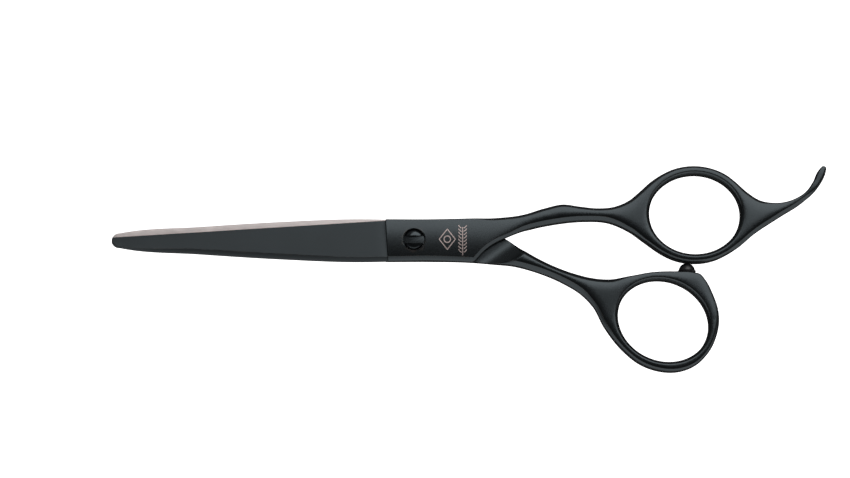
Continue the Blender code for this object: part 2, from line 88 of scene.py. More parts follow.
# Fineness of the meshes: points lie this far apart along an outline or turn it by this much.
SPACING = 0.8
TURN = math.radians(3)
KNOT_STEPS = 96
HOLE_SIDES = 144
WELL_SIDES = 96
STEP_REACH = 0.4  # within this distance of the step the outline's points are closer
STEP_CLOSER = 12
INNER_SPACING = 0.8
COVE_SPACING = 0.25
SCOOP_BAND = (-0.5, 8)  # distances past the cove's line that take the fine grid
SCOOP_LOW, SCOOP_HIGH = (10, -4), (36, 16)
STEP_ROWS = (-0.2, -0.12, -0.08, -0.04, 0, 0.04, 0.08, 0.12, 0.2)  # rows of points along the step
STEP_CLEAR = 0.35
EDGE_CLEAR = {True: 0.1, False: 0.12}  # face points keep this far from the bevels, outside and inside
# Levels of a bevel's rings, from the wall to the face.
LEVELS = (1.0, 0.9, 0.75, 0.6, 0.45, 0.3, 0.18, 0.08, 0.02, 0.0)
MARGINS = (0.3, 0.12)  # rows of points kept just inside a bevel
# The rows narrow at the blade's tip and along the finger rest.
MARGIN_X = (-79.1, -76.0, 88.0, 98.0, 103.0, 109.0)
MARGIN_SHARE = (0.1, 1.0, 1.0, 0.4, 0.15, 0.08)
PROBE = 0.05  # a face's slope at its bevel is taken over this distance, within these limits
SLOPES = (-0.3, 0.6)

# An edge is (width, depth) of its bevel on the outer face, the same on the inner face,
# then how flat the bevel is, from 0 for a quarter round to 1 for a chamfer.
SPINE_FINE = (0.55, 0.5, 0.05, 0.05, 0.8)
SPINE = (1.3, 0.95, 0.05, 0.05, 0.8)
SPINE_PIVOT = (1.15, 0.9, 0.05, 0.05, 0.8)
TIP = (0.35, 0.3, 0.05, 0.05, 0.0)
HONED = (0.14, 0.12, 0.04, 0.02, 1.0)
BREAK = (0.3, 0.3, 0.05, 0.05, 0.0)
COVE_EDGE = (0.75, 0.6, 0.1, 0.1, 1.0)
INSIDE = (0.8, 0.72, 0.8, 0.72, 0.78)
INSIDE_FULL = (1.08, 0.98, 1.08, 0.98, 0.78)
THUMB_INSIDE = (1.15, 1.04, 1.15, 1.04, 0.78)
OUTSIDE = (0.8, 1.1, 0.8, 1.1, 0.3)
THUMB_UPPER = (1.0, 1.4, 1.0, 1.4, 0.3)
RING_OUT = (0.6, 0.8, 0.6, 0.8, 0.45)
RING_HOLE = (0.7, 1.1, 0.7, 1.1, 0.4)
REST_UNDER = (0.8, 0.65, 0.8, 0.65, 1.0)
NARROW = (0.4, 0.45, 0.4, 0.45, 0.0)
REST_END = (0.28, 0.7, 0.28, 0.7, 0.2)

# The pivot area's crown, and how far it has dropped at this half width.
PIVOT_CROWN = 0.285
PIVOT_HALF_WIDTH = 5.0
# Slope at the edge and length of the roll: on a handle's first side in its outline, its second
# side, and its hole.
FINGER_ROLLS = ((0.5, 0.5), (0.24, 1.0), (0.35, 0.3))
THUMB_ROLLS = ((0.28, 0.7), (0.5, 0.5), (0.35, 0.3))
HANDLE_FROM_X = (16.0, 34.0)  # the pivot crown gives way to the handle's between these

HIGHLIGHT_BAND = 0.1  # share of a bevel, at each crease, over which the painted highlight fades
WALL_INSET = 0.35  # the painted crease highlight fades out over this height of a wall, from each edge

# A well's rim: how far out and how deep each ring of points lies.
WELL_RIM = ((0.0, 0.12), (0.035, 0.05), (0.1, 0.0), (0.2, 0.0))

# A crease turns by more than this.
FORGED_SHARP = math.radians(38)
TURNED_SHARP = math.radians(35)

COATED, BARE, GROUND = 0, 1, 2
CORNER = "corner"


def ellipse_points(shape, start, stop, count):
    """Points on an ellipse between two angles in degrees."""
    tilt = math.radians(shape["tilt"])
    points = []
    for angle in np.radians(np.linspace(start, stop, count)):
        u = shape["semi"][0] * math.cos(angle)
        v = shape["semi"][1] * math.sin(angle)
        x = shape["centre"][0] + u * math.cos(tilt) - v * math.sin(tilt)
        y = shape["centre"][1] + u * math.sin(tilt) + v * math.cos(tilt)
        points.append((x, y))
    return points


def blade_knots():
    """Heel, cutting edge, tip and spine, then the diagonal behind the pivot: the same on both halves."""
    step_top = HEEL_X - STEP_SLANT * EDGE_HEEL_Y
    return [
        (14.7, 5.62, BREAK),
        (4.0, 5.38, BREAK),
        (step_top + STEP_RUN, EDGE_HEEL_Y, BREAK, CORNER),
        (step_top - STEP_RUN, EDGE_HEEL_Y - 0.01, HONED, CORNER),
        (TIP_X + 0.15, EDGE_TIP_Y, HONED, CORNER),
        (TIP_X - 0.05, EDGE_TIP_Y - 0.5, TIP, CORNER),
        (TIP_X, -0.75, TIP),
        (-78.2, -1.75, SPINE_FINE),
        (-76.5, -2.11, SPINE_FINE),
        (-56.0, -3.7, SPINE),
        (-35.0, -5.0, SPINE),
        (-14.0, -5.74, SPINE_PIVOT),
        (-6.0, -5.6, SPINE_PIVOT),
        (4.0, -5.42, SPINE_PIVOT),
        (*DIAGONAL, SPINE_PIVOT, CORNER),
        (15.9, -5.45, COVE_EDGE, CORNER),
    ]


def finger_knots():
    """The finger half's outline, anticlockwise from the heel."""
    under = [(x, y, RING_OUT) for x, y in ellipse_points(FINGER_RING, 235, 305, 6)]
    rest_tip = [(x, y, REST_END) for x, y in ellipse_points(REST_TIP, -30, 150, 5)]
    over = [(x, y, RING_OUT) for x, y in ellipse_points(FINGER_RING, 42, 124, 8)]
    return (
        blade_knots()
        + [
            (18.6, -2.6, COVE_EDGE),
            (21.5, -0.6, COVE_EDGE),
            (24.7, 0.8, INSIDE),
            (29.4, 2.68, INSIDE_FULL),
            (36.5, 4.3, INSIDE_FULL),
            (44.8, 5.12, INSIDE_FULL),
            (50.5, 4.8, INSIDE_FULL),
            (56.2, 2.5, INSIDE),
            (60.6, -0.7, RING_OUT),
        ]
        + under
        + [
            (84.9, -1.75, REST_UNDER),
            (89.3, 1.93, REST_UNDER),
            (95.6, 6.1, REST_UNDER),
            (102.0, 10.2, REST_UNDER),
            (106.0, 13.95, REST_END),
        ]
        + rest_tip
        + [
            (104.9, 15.7, REST_END),
            (102.4, 12.5, NARROW),
            (98.4, 10.32, NARROW),
            (94.5, 9.75, NARROW),
            (90.6, 10.56, OUTSIDE),
            (87.2, 12.8, OUTSIDE),
        ]
        + over
        + [
            (62.2, 15.5, OUTSIDE),
            (59.2, 12.82, OUTSIDE),
            (56.0, 10.26, OUTSIDE),
            (52.4, 8.8, OUTSIDE),
            (48.0, 8.42, OUTSIDE),
            (43.4, 8.88, OUTSIDE),
            (39.0, 9.42, OUTSIDE),
            (34.0, 8.33, OUTSIDE),
            (28.5, 6.68, OUTSIDE),
            (21.5, 5.83, OUTSIDE),
        ]
    )


def thumb_knots():
    """The thumb half's outline in its own mirrored frame, so its handle also lies on the +Y side."""
    return blade_knots() + [
        (20.0, -2.95, COVE_EDGE),
        (24.6, -0.1, COVE_EDGE),
        (29.2, 3.0, THUMB_UPPER),
        (35.5, 6.4, THUMB_UPPER),
        (41.7, 8.8, THUMB_UPPER),
        (46.4, 10.0, THUMB_UPPER),
        (50.8, 10.38, THUMB_UPPER),
        (56.6, 9.55, NARROW),
        (62.1, 8.58, NARROW),
        (68.0, 8.36, NARROW),
        (72.8, 8.56, NARROW),
        (74.7, 9.1, NARROW),
        (76.0, 10.6, NARROW),
        (77.9, 14.4, NARROW),
        (79.15, 18.2, NARROW),
        (79.45, 21.4, RING_OUT),
        (78.75, 25.2, RING_OUT),
        (76.7, 29.5, RING_OUT),
        (73.0, 33.0, RING_OUT),
        (68.3, 34.58, RING_OUT),
        (63.6, 34.32, RING_OUT),
        (58.9, 32.6, RING_OUT),
        (54.3, 28.92, RING_OUT),
        (49.6, 22.8, INSIDE),
        (46.6, 17.2, INSIDE),
        (43.4, 14.0, THUMB_INSIDE),
        (38.8, 11.2, THUMB_INSIDE),
        (32.5, 8.52, THUMB_INSIDE),
        (26.2, 6.78, THUMB_INSIDE),
        (20.5, 6.1, BREAK),
    ]


def hermite(start, leaving, end, arriving, t):
    """A point on the cubic with these ends and end tangents."""
    return (
        (1 + 2 * t) * (1 - t) ** 2 * start
        + t * (1 - t) ** 2 * leaving
        + t * t * (3 - 2 * t) * end
        - t * t * (1 - t) * arriving
    )


def run_through(knots):
    """Dense points along the closed outline with their bevels, and which of them are corners."""
    values = np.array([[*knot[:2], *knot[2]] for knot in knots])
    corners = [CORNER in knot for knot in knots]
    chords = np.roll(values, -1, axis=0) - values
    lengths = np.hypot(chords[:, 0], chords[:, 1])[:, None]
    slopes = chords / lengths
    before = np.roll(lengths, 1, axis=0)
    tangents = (lengths * np.roll(slopes, 1, axis=0) + before * slopes) / (before + lengths)
    rows, kept = [], []
    for i in range(len(knots)):
        j = (i + 1) % len(knots)
        leaving = slopes[i] if corners[i] else tangents[i]
        arriving = slopes[i] if corners[j] else tangents[j]
        for t in np.arange(0, 1, 1 / KNOT_STEPS):
            row = hermite(values[i], leaving * lengths[i], values[j], arriving * lengths[i], t)
            row[2:] = values[i, 2:] + chords[i, 2:] * smooth(t, 0, 1)
            rows.append(row)
            kept.append(corners[i] and t == 0)
    return np.array(rows), np.array(kept)


def resample(rows, kept):
    """Fewer points: closer where the outline turns and at the step, with every corner kept."""
    ahead = np.roll(rows[:, :2], -1, axis=0) - rows[:, :2]
    length = np.hypot(ahead[:, 0], ahead[:, 1])
    heading = np.arctan2(ahead[:, 1], ahead[:, 0])
    bend = np.abs((np.diff(heading, append=heading[0]) + math.pi) % (2 * math.pi) - math.pi)
    bend[np.roll(kept, -1)] = 0
    at_step = np.abs(rows[:, 0] - HEEL_X + STEP_SLANT * rows[:, 1]) < STEP_REACH
    cost = length / SPACING * np.where(at_step, STEP_CLOSER, 1) + bend / TURN
    starts = np.flatnonzero(kept)
    picked = []
    for i, start in enumerate(starts):
        stop = starts[(i + 1) % len(starts)]
        if stop <= start:
            stop += len(rows)
        run = np.arange(start, stop + 1) % len(rows)
        so_far = np.concatenate([[0], np.cumsum(cost[run[:-1]])])
        pieces = max(1, round(so_far[-1]))
        marks = np.linspace(0, so_far[-1], pieces + 1)[:-1]
        columns = [np.interp(marks, so_far, rows[run, c]) for c in range(rows.shape[1])]
        picked.append(np.stack(columns, axis=1))
    return np.concatenate(picked)


def inward(points):
    """Unit normals into the material, longer at a corner so that an offset keeps its width."""
    back = points - np.roll(points, 1, axis=0)
    ahead = np.roll(points, -1, axis=0) - points
    back /= np.linalg.norm(back, axis=1)[:, None]
    ahead /= np.linalg.norm(ahead, axis=1)[:, None]
    left = np.stack([-(back + ahead)[:, 1], (back + ahead)[:, 0]], axis=1)
    left /= np.linalg.norm(left, axis=1)[:, None]
    side = np.stack([-ahead[:, 1], ahead[:, 0]], axis=1)
    return left / np.maximum((left * side).sum(axis=1), 0.6)[:, None]


def hole_rows(shape):
    """A ring's hole, clockwise, as outline rows."""
    points = np.array(ellipse_points(shape, 360, 0, HOLE_SIDES + 1)[:-1])
    return np.hstack([points, np.tile(RING_HOLE, (len(points), 1))])


def circle(radius):
    """A round well's loop about the pivot, clockwise."""
    shape = dict(centre=(0, 0), semi=(radius, radius), tilt=0)
    return np.array(ellipse_points(shape, 360, 0, WELL_SIDES + 1)[:-1])


def inside(points, polygon):
    """Which points lie inside a closed polygon."""
    x, y = points[:, 0][:, None], points[:, 1][:, None]
    x0, y0 = polygon[:, 0][None], polygon[:, 1][None]
    x1, y1 = np.roll(polygon[:, 0], -1)[None], np.roll(polygon[:, 1], -1)[None]
    rise = np.where(y1 == y0, 1e-12, y1 - y0)
    crosses = ((y0 > y) != (y1 > y)) & (x < (x1 - x0) * (y - y0) / rise + x0)
    return crosses.sum(axis=1) % 2 == 1


def distance_to(points, line):
    """Distance from each point to a polyline."""
    best = np.full(len(points), np.inf)
    along = np.diff(line, axis=0)
    square = np.maximum((along**2).sum(axis=1), 1e-12)
    for k in range(0, len(points), 400):
        away = points[k : k + 400, None] - line[None, :-1]
        t = np.clip((away * along[None]).sum(axis=2) / square, 0, 1)
        best[k : k + 400] = np.linalg.norm(away - along[None] * t[..., None], axis=2).min(axis=1)
    return best


def closed(loop):
    return np.concatenate([loop, loop[:1]])


def smooth(x, low, high):
    t = np.clip((x - low) / (high - low), 0, 1)
    return t * t * (3 - 2 * t)


def crown_drop(points, sides):
    """How far a face lies under its full height: crowned across the pivot, rolled at a handle's edges."""
    pivot = PIVOT_CROWN * (points[:, 1] / PIVOT_HALF_WIDTH) ** 2
    first, second, hole = [
        slope * length * np.exp(-distance_to(points, line) / length) for line, slope, length in sides
    ]
    meeting_point, length = sides[0][0][-1], sides[0][2]
    both = 1 + np.exp(-np.linalg.norm(points - meeting_point, axis=1) / length)
    rolls = (first + second) / both + hole
    return pivot + (rolls - pivot) * smooth(points[:, 0], *HANDLE_FROM_X)


def blade_across(x, y):
    """0 at the cutting edge, 1 at the spine."""
    spine = [knot[:2] for knot in blade_knots() if knot[2] in (SPINE_FINE, SPINE, SPINE_PIVOT)]
    spine_y = np.interp(x, *zip(*spine))
    edge_y = np.interp(x, (TIP_X, HEEL_X), (EDGE_TIP_Y, EDGE_HEEL_Y))
    return np.clip((edge_y - y) / (edge_y - spine_y), 0, 1)


def outer_height(points, sides):
    """Height of the outer face: ground blade, step, crowned pivot area and handle."""
    x, y = points.T
    step_x = HEEL_X - STEP_SLANT * y
    along = np.clip((x - TIP_X) / (HEEL_X - TIP_X), 0, 1)
    spine = SPINE_TIP + (SPINE_HEEL - SPINE_TIP) * along
    blade = PARTING + EDGE_THICKNESS + (spine - EDGE_THICKNESS) * blade_across(x, y) ** BLADE_BULGE
    blade -= RUN_OUT_DIP * np.clip((x - step_x + RUN_OUT) / RUN_OUT, 0, 1) ** 2
    crowned = HEIGHT - crown_drop(points, sides)
    return blade + (crowned - blade) * smooth(x, step_x - STEP_RUN, step_x + STEP_RUN)


def beyond_line(x, y, line):
    """Signed distance past a line on its handle side."""
    (from_x, from_y), (to_x, to_y) = line
    run_x, run_y = to_x - from_x, to_y - from_y
    return ((y - from_y) * run_x - (x - from_x) * run_y) / math.hypot(run_x, run_y)


def inner_height(points, sides, cove):
    """Height of the inner face: hollow blade, flat pivot area, then the scoop down to the handle's face."""
    x, y = points.T
    across = blade_across(x, y)
    between = np.clip((across - LAND) / (1 - 2 * LAND), 0, 1)
    hollow = HOLLOW * 4 * between * (1 - between) * (1 - smooth(x, HEEL_X - HOLLOW_FADE, HEEL_X))
    past = np.clip(beyond_line(x, y, cove) - COVE_START, 0, COVE_RADIUS * 0.999)
    scoop = COVE_RADIUS - np.sqrt(COVE_RADIUS**2 - past**2)
    ground = PARTING + FACE_GAP + hollow - scoop
    handle = crown_drop(points, sides)
    gap = np.abs(ground - handle)
    return np.maximum(ground, handle) + np.clip(RIM_BLEND - gap, 0, None) ** 2 / (4 * RIM_BLEND)


def bevel_profile(u, flat):
    """Drop of a bevel, 0 at the face and 1 at the wall: a quarter round, a chamfer or between."""
    return flat * u + (1 - flat) * (1 - np.sqrt(np.clip(1 - u * u, 0, 1)))


def staggered(low, high, spacing):
    """A triangular grid of points over a rectangle."""
    rows = []
    for k, y in enumerate(np.arange(low[1], high[1], spacing * 0.87)):
        xs = np.arange(low[0] + (k % 2) * spacing / 2, high[0], spacing)
        rows.append(np.stack([xs, np.full(len(xs), y)], axis=1))
    return np.concatenate(rows)


def face_points(loops, outer, cove):
    """Points inside a face: a coarse grid, with a finer one in the scoop or rows along the step."""
    grid = staggered(loops[0].min(axis=0), loops[0].max(axis=0), INNER_SPACING)
    if outer:
        step_x = HEEL_X - STEP_SLANT * grid[:, 1]
        grid = grid[np.abs(grid[:, 0] - step_x) > STEP_CLEAR]
        ys = np.arange(-6, 6, 0.25)
        rows = [np.stack([HEEL_X - STEP_SLANT * ys + offset, ys], axis=1) for offset in STEP_ROWS]
        grid = np.concatenate([grid] + rows)
    else:
        near, far = SCOOP_BAND
        past = beyond_line(grid[:, 0], grid[:, 1], cove)
        over = (grid[:, 0] > SCOOP_LOW[0]) & (grid[:, 0] < SCOOP_HIGH[0])
        fine = staggered(SCOOP_LOW, SCOOP_HIGH, COVE_SPACING)
        fine_past = beyond_line(fine[:, 0], fine[:, 1], cove)
        coarse = grid[~((past > near) & (past < far) & over)]
        grid = np.concatenate([coarse, fine[(fine_past > near) & (fine_past < far)]])
    keep = inside(grid, loops[0])
    for hole in loops[1:]:
        keep &= ~inside(grid, hole)
    grid = grid[keep]
    gap = np.min([distance_to(grid, closed(loop)) for loop in loops], axis=0)
    return grid[gap > EDGE_CLEAR[outer]]


def face_triangles(loops, extra):
    """Triangles over the region inside the first loop and outside the others, with extra points used."""
    points = np.concatenate(loops + [extra])
    edges = []
    start = 0
    for loop in loops:
        count = len(loop)
        edges += [(start + i, start + (i + 1) % count) for i in range(count)]
        start += count
    _, _, faces, sources, _, _ = delaunay_2d_cdt([Vector(p) for p in points], edges, [], 0, 1e-7, True)
    source = np.array([ids[0] for ids in sources])
    triangles = source[np.array(faces)]
    middle = points[triangles].mean(axis=1)
    keep = inside(middle, loops[0])
    for hole in loops[1:]:
        keep &= ~inside(middle, hole)
    return triangles[keep]


class Forging:
    """The points and faces of one half while it is built."""

    def __init__(self):
        self.points, self.wear, self.faces, self.slots = [], [], [], []

    def ring(self, xy, z, wear=0.0):
        first = len(self.points)
        self.points += [(x, y, h) for (x, y), h in zip(xy, np.broadcast_to(z, len(xy)))]
        # each point carries a strength of painted highlight
        self.wear += [wear] * len(xy)
        return np.arange(first, len(self.points))

    def face(self, corners, finish=0):
        self.faces.append([int(i) for i in corners])
        self.slots.append(int(finish))

    def strip(self, low, high, forward, finishes=None):
        """A band of quads between two closed rings."""
        for i in range(len(low)):
            j = (i + 1) % len(low)
            quad = (low[i], low[j], high[j], high[i])
            same = finishes is not None and finishes[i] == finishes[j]
            self.face(quad if forward else quad[::-1], finishes[i] if same else 0)


def edge_wear(u):
    """Strength of the painted highlight: 1 on the two creases of a bevel, 0 between them."""
    return max(0.0, 1 - u / HIGHLIGHT_BAND, 1 - (1 - u) / HIGHLIGHT_BAND)


def facing_sides(rows, column, rolls):
    """A handle's two long sides and its ring's hole, along the face edges of their bevels, with their rolls."""
    inner = [r[:, :2] + inward(r[:, :2]) * r[:, column : column + 1] for r in rows]
    far_end = int(np.argmax(rows[0][:, 0]))
    start = int(np.argmin(np.hypot(*(rows[0][:, :2] - DIAGONAL).T)))
    second_side = np.concatenate([inner[0][far_end:], inner[0][:1]])
    lines = inner[0][start : far_end + 1], second_side, closed(inner[1])
    return [(line, slope, length) for line, (slope, length) in zip(lines, rolls)]


def bevel(made, height, row, column, outer):
    """Rings of points from the wall up a bevel and a little way onto the face, and the last one's plan."""
    plan = row[:, :2]
    normals = inward(plan)
    width, depth, flat = row[:, column], row[:, column + 1], row[:, 6]
    sign = 1 if outer else -1
    face_edge = plan + normals * width[:, None]
    top = height(face_edge)
    nearby = height(face_edge + normals * PROBE)
    slope = np.clip(sign * (nearby - top) / PROBE, *SLOPES)
    rings = []
    for u in LEVELS:
        xy = plan + normals * (width * (1 - u))[:, None]
        drop = slope * width * u + (depth - slope * width) * bevel_profile(u, flat)
        # each ring carries the painted crease highlight, strongest at the bevel's two creases
        rings.append(made.ring(xy, top - sign * drop, edge_wear(u)))
    share = np.interp(plan[:, 0], MARGIN_X, MARGIN_SHARE)
    for margin in reversed(MARGINS):
        xy = face_edge + normals * (margin * share)[:, None]
        rings.append(made.ring(xy, height(xy)))
    return rings, xy


def finish_of(points, outer):
    """COATED, BARE or GROUND for points of a face: a blade is ground outside and bare inside."""
    if outer:
        return np.where(points[:, 0] < HEEL_X - STEP_SLANT * points[:, 1], GROUND, COATED)
    return np.where(points[:, 0] < COATED_FROM_X, BARE, COATED)


def forged_half(name, knots, hole, cove, well, rolls):
    """A half with bevels round its outline and hole, its walls, its two faces and the well at the pivot."""
    made = Forging()
    rows = [resample(*run_through(knots)), hole_rows(hole)]
    honed = [
        np.isclose(r[:, 2], HONED[0], atol=0.01) & np.isclose(r[:, 3], HONED[1], atol=0.02)
        for r in rows
    ]
    walls, wells = {}, {}
    for outer in (True, False):
        column = 2 if outer else 4
        sides = facing_sides(rows, column, rolls)
        if outer:
            height = partial(outer_height, sides=sides)
        else:
            height = partial(inner_height, sides=sides, cove=cove)
        innermost, walls[outer] = [], []
        for r, bare in zip(rows, honed):
            rings, xy = bevel(made, height, r, column, outer)
            walls[outer].append(rings[0])
            finish = finish_of(r[:, :2], outer)
            for k in range(len(rings) - 1):
                on_bevel = k < len(LEVELS) - 1
                made.strip(rings[k], rings[k + 1], outer, np.where(bare & on_bevel, BARE, finish))
            innermost.append((rings[-1], xy))
        radius = well["radius"] if outer else well["bore"]
        last = None
        for widen, sink in WELL_RIM:
            xy = circle(radius + widen)
            z = height(xy)
            # the well's rim rings carry the full painted highlight
            ring = made.ring(xy, z - sink if outer else z + sink, 1.0)
            if last is None:
                wells[outer] = ring
            else:
                made.strip(last, ring, outer)
            last = ring
        innermost.append((last, xy))
        loops = [xy for _, xy in innermost]
        extra = face_points(loops, outer, cove)
        inner_rings = [ring for ring, _ in innermost]
        ids = np.concatenate(inner_rings + [made.ring(extra, height(extra))])
        triangles = face_triangles(loops, extra)
        finishes = finish_of(np.concatenate(loops + [extra])[triangles].mean(axis=1), outer)
        for triangle, finish in zip(triangles, finishes):
            made.face(ids[triangle if outer else triangle[::-1]], finish)
    for top, bottom, bare, r in zip(walls[True], walls[False], honed, rows):
        low, high = np.array(made.points)[bottom, 2], np.array(made.points)[top, 2]
        inset = np.minimum(WALL_INSET, (high - low) / 3)
        rings = [bottom, made.ring(r[:, :2], low + inset), made.ring(r[:, :2], high - inset), top]
        for lower, upper in zip(rings, rings[1:]):
            made.strip(lower, upper, True, np.where(bare, BARE, finish_of(r[:, :2], True)))
    floor = made.ring(circle(well["radius"]), well["floor"])
    lip = made.ring(circle(well["bore"]), well["floor"])
    made.strip(floor, wells[True], True)
    made.strip(lip, floor, True)
    made.strip(wells[False], lip, True)
    return mesh_object(name, made)


def mesh_object(name, made):
    """A Forging as a smooth-shaded object with its painted-highlight attribute, which lightens the coating
    along creases.
    """
    data = bpy.data.meshes.new(name)
    data.from_pydata([Vector(p) * MM for p in made.points], [], made.faces)
    # the attribute holds where the coating's colour is lightened as a painted highlight
    wear = data.attributes.new("wear", "FLOAT", "POINT")
    wear.data.foreach_set("value", made.wear)
    data.polygons.foreach_set("material_index", made.slots)
    data.shade_smooth()
    data.set_sharp_from_angle(angle=FORGED_SHARP)
    data.update()
    obj = bpy.data.objects.new(name, data)
    bpy.context.scene.collection.objects.link(obj)
    return obj


def ride(obj, body, slot, *nodes):
    """A piece rides on its body and stands for CAD nodes; the slot argument is not used."""
    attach(obj, body)
    if nodes:
        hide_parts(*nodes)


def give(obj, *materials):
    if obj.data.materials:
        obj.data.materials.clear()
    for made in materials:
        obj.data.materials.append(made)


def turned(name, profile, steps):
    """A solid of revolution about Z from a closed (radius, height) profile, given anticlockwise."""
    made = Forging()
    rings = []
    for radius, z in profile:
        if radius < 1e-6:
            made.points.append((0, 0, z))
            made.wear.append(0)
            rings.append(np.full(steps, len(made.points) - 1))
        else:
            turn = np.linspace(0, 2 * math.pi, steps, endpoint=False)
            rings.append(made.ring(np.stack([radius * np.cos(turn), radius * np.sin(turn)], axis=1), z))
    for low, high in zip(rings, rings[1:] + rings[:1]):
        for i in range(steps):
            j = (i + 1) % steps
            corners = list(dict.fromkeys((int(low[i]), int(low[j]), int(high[j]), int(high[i]))))
            if len(corners) > 2:
                made.face(corners)
    obj = mesh_object(name, made)
    obj.data.set_sharp_from_angle(angle=TURNED_SHARP)
    return obj


def rounded(profile, radius, steps=4):
    """The (radius, height) profile with its inner corners rounded; its two ends stay."""
    path = [np.array(p, float) for p in profile]
    out = [path[0]]
    for before, corner, after in zip(path, path[1:], path[2:]):
        to_before, to_after = before - corner, after - corner
        reach = min(radius, np.linalg.norm(to_before) * 0.45, np.linalg.norm(to_after) * 0.45)
        start = corner + to_before / np.linalg.norm(to_before) * reach
        stop = corner + to_after / np.linalg.norm(to_after) * reach
        for t in np.linspace(0, 1, steps):
            out.append((1 - t) ** 2 * start + 2 * t * (1 - t) * corner + t * t * stop)
    return [tuple(p) for p in out + [path[-1]]]


def settle(obj):
    """Applies an object's modifiers to its mesh."""
    graph = bpy.context.evaluated_depsgraph_get()
    data = bpy.data.meshes.new_from_object(obj.evaluated_get(graph))
    obj.modifiers.clear()
    obj.data = data


# --- materials ----------------------------------------------------------------------------------------
class Nodes:
    """Short-hand for building a node tree."""

    def __init__(self, name):
        self.material = bpy.data.materials.new(name)
        self.material.use_nodes = True
        self.tree = self.material.node_tree
        self.shader = self.tree.nodes["Principled BSDF"]
        self.place = self.add("ShaderNodeTexCoord").outputs["Object"]

    def add(self, kind, inputs=(), **settings):
        node = self.tree.nodes.new(kind)
        for key, value in settings.items():
            setattr(node, key, value)
        for key, value in dict(inputs).items():
            if isinstance(value, bpy.types.NodeSocket):
                self.tree.links.new(value, node.inputs[key])
            else:
                node.inputs[key].default_value = value
        return node

    def noise(self, scale, detail=3.0, roughness=0.55, stretch=(1, 1, 1)):
        mapped = self.add("ShaderNodeMapping", {"Vector": self.place, "Scale": stretch})
        inputs = {"Vector": mapped.outputs[0], "Scale": scale, "Detail": detail, "Roughness": roughness}
        return self.add("ShaderNodeTexNoise", inputs).outputs["Fac"]

    def span(self, value, low, high, to_low, to_high):
        inputs = {"Value": value, "From Min": low, "From Max": high, "To Min": to_low, "To Max": to_high}
        return self.add("ShaderNodeMapRange", inputs).outputs[0]

    def math(self, operation, first, second):
        return self.add("ShaderNodeMath", {0: first, 1: second}, operation=operation).outputs[0]

    def mix(self, factor, first, second):
        node = self.add("ShaderNodeMix", {"Factor": factor}, data_type="RGBA")
        for socket, value in ((node.inputs[6], first), (node.inputs[7], second)):
            if isinstance(value, bpy.types.NodeSocket):
                self.tree.links.new(value, socket)
            else:
                socket.default_value = (*value, 1)
        return node.outputs[2]

    def bump(self, height, distance, strength=1.0):
        node = self.add("ShaderNodeBump", {"Height": height, "Distance": distance, "Strength": strength})
        self.link(node.outputs[0], "Normal")

    def link(self, output, socket):
        self.tree.links.new(output, self.shader.inputs[socket])

    def set(self, **values):
        for socket, value in values.items():
            self.shader.inputs[socket.replace("_", " ")].default_value = value


def coating(name, roughness, base, specular=0.5):
    """Satin black coating over steel, with a painted highlight: its colour is lightened along the creases of
    its bevels and the pocket rims.
    """
    n = Nodes(name)
    n.set(Metallic=0.0, IOR=1.5, Specular_IOR_Level=specular, Specular_Tint=(0.86, 1.0, 1.07, 1))
    clouds = n.noise(120, 4)
    grain = n.noise(9000, 2, stretch=(0.35, 1, 1))
    # painted highlight: the coating's colour is lightened along creases, broken up by noise
    wear = n.add("ShaderNodeAttribute", attribute_name="wear").outputs["Fac"]
    highlight_mix = n.math("MULTIPLY", wear, n.span(n.noise(900, 4), 0.4, 0.7, 0.0, 0.75))
    dark = tuple(c * 0.82 for c in base)
    light = tuple(c * 1.22 for c in base)
    colour = n.mix(n.span(clouds, 0.3, 0.7, 0, 1), dark, light)
    # the lighter brownish colour along the creases is a painted highlight
    n.link(n.mix(highlight_mix, colour, (0.05, 0.036, 0.030)), "Base Color")
    rough = n.span(n.math("ADD", clouds, grain), 0.6, 1.4, roughness - 0.035, roughness + 0.035)
    n.link(rough, "Roughness")
    n.bump(grain, 0.0000012)
    return n.material


def ground_steel(name):
    """Bare ground steel with fine grinding lines along X."""
    n = Nodes(name)
    n.set(Metallic=1.0)
    lines = n.noise(14000, 2, stretch=(0.02, 1, 1))
    clouds = n.noise(200, 3)
    strokes = n.span(n.math("ADD", lines, clouds), 0.7, 1.3, 0, 1)
    n.link(n.mix(strokes, (0.68, 0.62, 0.61), (0.92, 0.84, 0.82)), "Base Color")
    n.link(n.span(n.math("ADD", lines, clouds), 0.6, 1.4, 0.52, 0.62), "Roughness")
    n.bump(lines, 0.000001)
    return n.material


def plain_metal(name, colour, roughness, scale=6000):
    """A turned or rolled metal with slight stains and fine marks."""
    n = Nodes(name)
    n.set(Metallic=1.0)
    marks = n.noise(scale, 3)
    stains = n.noise(700, 3)
    low = tuple(c * 0.8 for c in colour)
    n.link(n.mix(n.span(stains, 0.3, 0.7, 0, 1), low, colour), "Base Color")
    n.link(n.span(n.math("ADD", marks, stains), 0.6, 1.4, roughness - 0.06, roughness + 0.06), "Roughness")
    n.bump(marks, 0.0000015)
    return n.material


def soft_solid(name, colour, roughness, pits, specular=0.5):
    """Rubber or a polymer: mottled, with a fine moulded surface."""
    n = Nodes(name)
    n.set(Metallic=0.0, IOR=1.5, Specular_IOR_Level=specular)
    skin = n.noise(5000, 3)
    blotches = n.noise(900, 3)
    low = tuple(c * 0.75 for c in colour)
    n.link(n.mix(n.span(blotches, 0.3, 0.7, 0, 1), low, colour), "Base Color")
    n.link(n.span(n.math("ADD", skin, blotches), 0.6, 1.4, roughness - 0.05, roughness + 0.05), "Roughness")
    n.bump(skin, pits)
    return n.material


